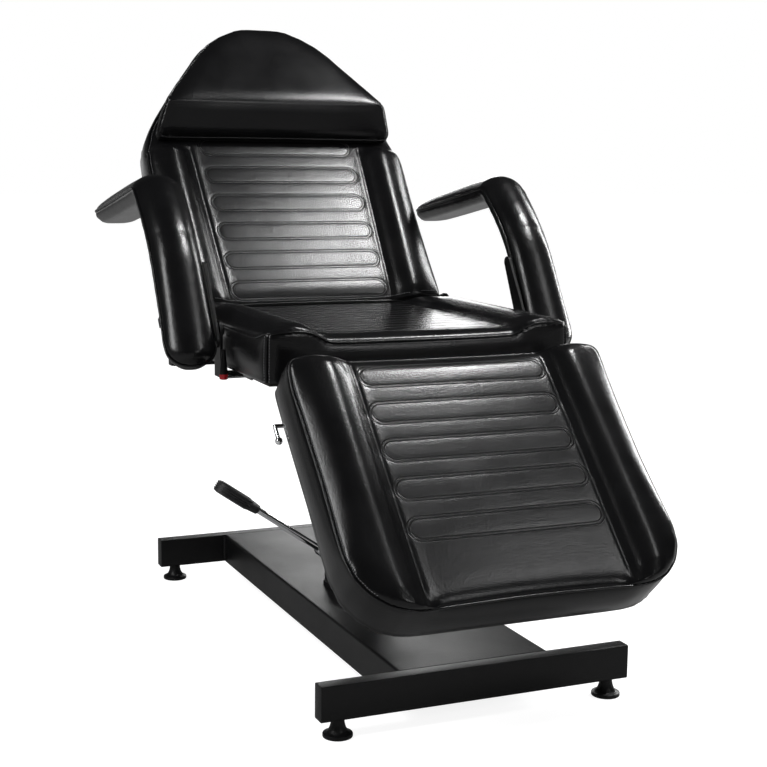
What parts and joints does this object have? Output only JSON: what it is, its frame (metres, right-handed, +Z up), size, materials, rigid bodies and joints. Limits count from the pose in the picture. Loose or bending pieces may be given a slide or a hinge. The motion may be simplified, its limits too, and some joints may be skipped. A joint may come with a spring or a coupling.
{
  "type": "tattoo chair",
  "caption": "Black hydraulic tattoo chair with a reclining back and pillow, a folding leg rest, swing-back armrests, a foot pump and a low steel base on levelling feet.",
  "frame": {"origin": "on the floor at the middle of the chair's bounding box, front to back and side to side", "axes": "+Z up, -Y to the front where the sitter's feet point, +Y to the backrest, +X to the sitter's left"},
  "size_m": [0.84, 1.4908, 1.2126],
  "materials": {
    "frame_black": "fine-textured satin powder coat",
    "leather_black": "glossy grained leatherette",
    "chrome": "polished",
    "steel": "zinc plated",
    "plastic_black": "moulded, fine texture",
    "plastic_red": "gloss",
    "rubber_black": "ribbed",
    "plywood": "raw plywood"
  },
  "bodies": {
    "base": {"front_cross_tube": "frame_black", "rear_cross_tube": "frame_black", "tube_end_caps": "plastic_black", "deck_plate": "frame_black", "weld_beads": "frame_black", "base_fasteners": "steel", "pump_flange": "frame_black", "pump_cylinder": "frame_black", "pump_gland": "steel", "pump_skirt": "chrome", "pedal_ears": "frame_black", "pedal_pin": "steel"},
    "foot_front_left": {"foot_front_left": "plastic_black"},
    "foot_front_right": {"foot_front_right": "plastic_black"},
    "foot_rear_left": {"foot_rear_left": "plastic_black"},
    "foot_rear_right": {"foot_rear_right": "plastic_black"},
    "pedal": {"pedal_lever": "chrome", "pedal_pad": "rubber_black"},
    "lift": {"piston": "chrome"},
    "seat": {"seat_plate": "frame_black", "swivel_socket": "frame_black", "seat_rails": "frame_black", "seat_cross_tubes": "frame_black", "seat_board": "plywood", "seat_cushion": "leather_black", "seat_fasteners": "steel", "hinge_pins": "steel", "back_hinge_plates": "frame_black", "leg_hinge_ears": "frame_black", "seat_strut_lugs": "frame_black", "armrest_mounts": "frame_black", "release_bracket": "frame_black"},
    "back": {"back_rails": "frame_black", "back_cross_tubes": "frame_black", "back_board": "plywood", "back_cushion": "leather_black", "pillow": "leather_black", "back_hinge_arms": "frame_black", "back_strut_lugs": "frame_black", "back_fasteners": "steel"},
    "leg": {"leg_rails": "frame_black", "leg_cross_tubes": "frame_black", "leg_board": "plywood", "leg_cushion": "leather_black", "leg_hinge_arms": "frame_black", "leg_strut_lugs": "frame_black", "leg_fasteners": "steel", "leg_release_holder": "frame_black"},
    "arm_left": {"armrest_left": "leather_black", "armrest_plate_left": "frame_black"},
    "arm_right": {"armrest_right": "leather_black", "armrest_plate_right": "frame_black"},
    "back_strut_cylinder": {"back_strut_cylinder": "frame_black"},
    "back_strut_rod": {"back_strut_rod": "chrome"},
    "leg_strut_cylinder": {"leg_strut_cylinder": "frame_black"},
    "leg_strut_rod": {"leg_strut_rod": "chrome"},
    "back_release": {"back_release_lever": "chrome", "back_release_grip": "plastic_black", "back_release_cap": "plastic_red"},
    "leg_release": {"leg_release_lever": "chrome"}
  },
  "joints": [
    {"name": "lift_slide", "type": "slide", "parent": "base", "child": "lift", "axis": [0, 0, 1], "range_m": [0, 0.15]},
    {"name": "seat_swivel", "type": "hinge", "parent": "lift", "child": "seat", "pos_m": [0, -0.035, 0.487], "axis": [0, 0, 1], "continuous": true},
    {"name": "pedal_press", "type": "hinge", "parent": "base", "child": "pedal", "pos_m": [-0.084, -0.035, 0.1655], "axis": [0, -1, 0], "range_deg": [0, 25], "stiffness_Nm_per_rad": 4, "springref_deg": -42.97},
    {"name": "back_recline", "type": "hinge", "parent": "seat", "child": "back", "pos_m": [0, 0.25, 0.612], "axis": [1, 0, 0], "range_deg": [-52.7, 15]},
    {"name": "leg_raise", "type": "hinge", "parent": "seat", "child": "leg", "pos_m": [0, -0.324, 0.524], "axis": [-1, 0, 0], "range_deg": [-12, 45.4]},
    {"name": "arm_left_swing", "type": "hinge", "parent": "seat", "child": "arm_left", "pos_m": [0.312, -0.08044, 0.61417], "axis": [-1, 0, 0], "range_deg": [0, 60]},
    {"name": "arm_right_swing", "type": "hinge", "parent": "seat", "child": "arm_right", "pos_m": [-0.312, -0.08044, 0.61417], "axis": [-1, 0, 0], "range_deg": [0, 60]},
    {"name": "back_strut_cylinder_turn", "type": "hinge", "parent": "seat", "child": "back_strut_cylinder", "pos_m": [0, 0.109, 0.444], "axis": [1, 0, 0], "range_deg": [-26.5, 8.7]},
    {"name": "back_strut_rod_turn", "type": "hinge", "parent": "back", "child": "back_strut_rod", "pos_m": [0, 0.46454, 0.5664], "axis": [1, 0, 0], "range_deg": [-8.7, 26.5]},
    {"name": "leg_strut_cylinder_turn", "type": "hinge", "parent": "seat", "child": "leg_strut_cylinder", "pos_m": [0, -0.2, 0.455], "axis": [-1, 0, 0], "range_deg": [-6.2, 22.9]},
    {"name": "leg_strut_rod_turn", "type": "hinge", "parent": "leg", "child": "leg_strut_rod", "pos_m": [0, -0.3908, 0.3988], "axis": [-1, 0, 0], "range_deg": [-22.9, 6.2]},
    {"name": "back_release_press", "type": "hinge", "parent": "seat", "child": "back_release", "pos_m": [-0.196, -0.112, 0.532], "axis": [0, -1, 0], "range_deg": [0, 12], "stiffness_Nm_per_rad": 1.2, "springref_deg": -20.05},
    {"name": "leg_release_turn", "type": "hinge", "parent": "leg", "child": "leg_release", "pos_m": [-0.202, -0.35737, 0.48255], "axis": [1, 0, 0], "range_deg": [0, 30], "stiffness_Nm_per_rad": 0.3, "springref_deg": -20.05},
    {"name": "foot_front_left_level", "type": "slide", "parent": "base", "child": "foot_front_left", "axis": [0, 0, -1], "range_m": [0, 0.012]},
    {"name": "foot_front_right_level", "type": "slide", "parent": "base", "child": "foot_front_right", "axis": [0, 0, -1], "range_m": [0, 0.012]},
    {"name": "foot_rear_left_level", "type": "slide", "parent": "base", "child": "foot_rear_left", "axis": [0, 0, -1], "range_m": [0, 0.012]},
    {"name": "foot_rear_right_level", "type": "slide", "parent": "base", "child": "foot_rear_right", "axis": [0, 0, -1], "range_m": [0, 0.012]}
  ],
  "couplings": [
    {"joint": "back_strut_cylinder_turn", "follows": "back_recline", "ratio": 0.5},
    {"joint": "back_strut_rod_turn", "follows": "back_recline", "ratio": -0.5},
    {"joint": "leg_strut_cylinder_turn", "follows": "leg_raise", "ratio": 0.5},
    {"joint": "leg_strut_rod_turn", "follows": "leg_raise", "ratio": -0.5}
  ]
}
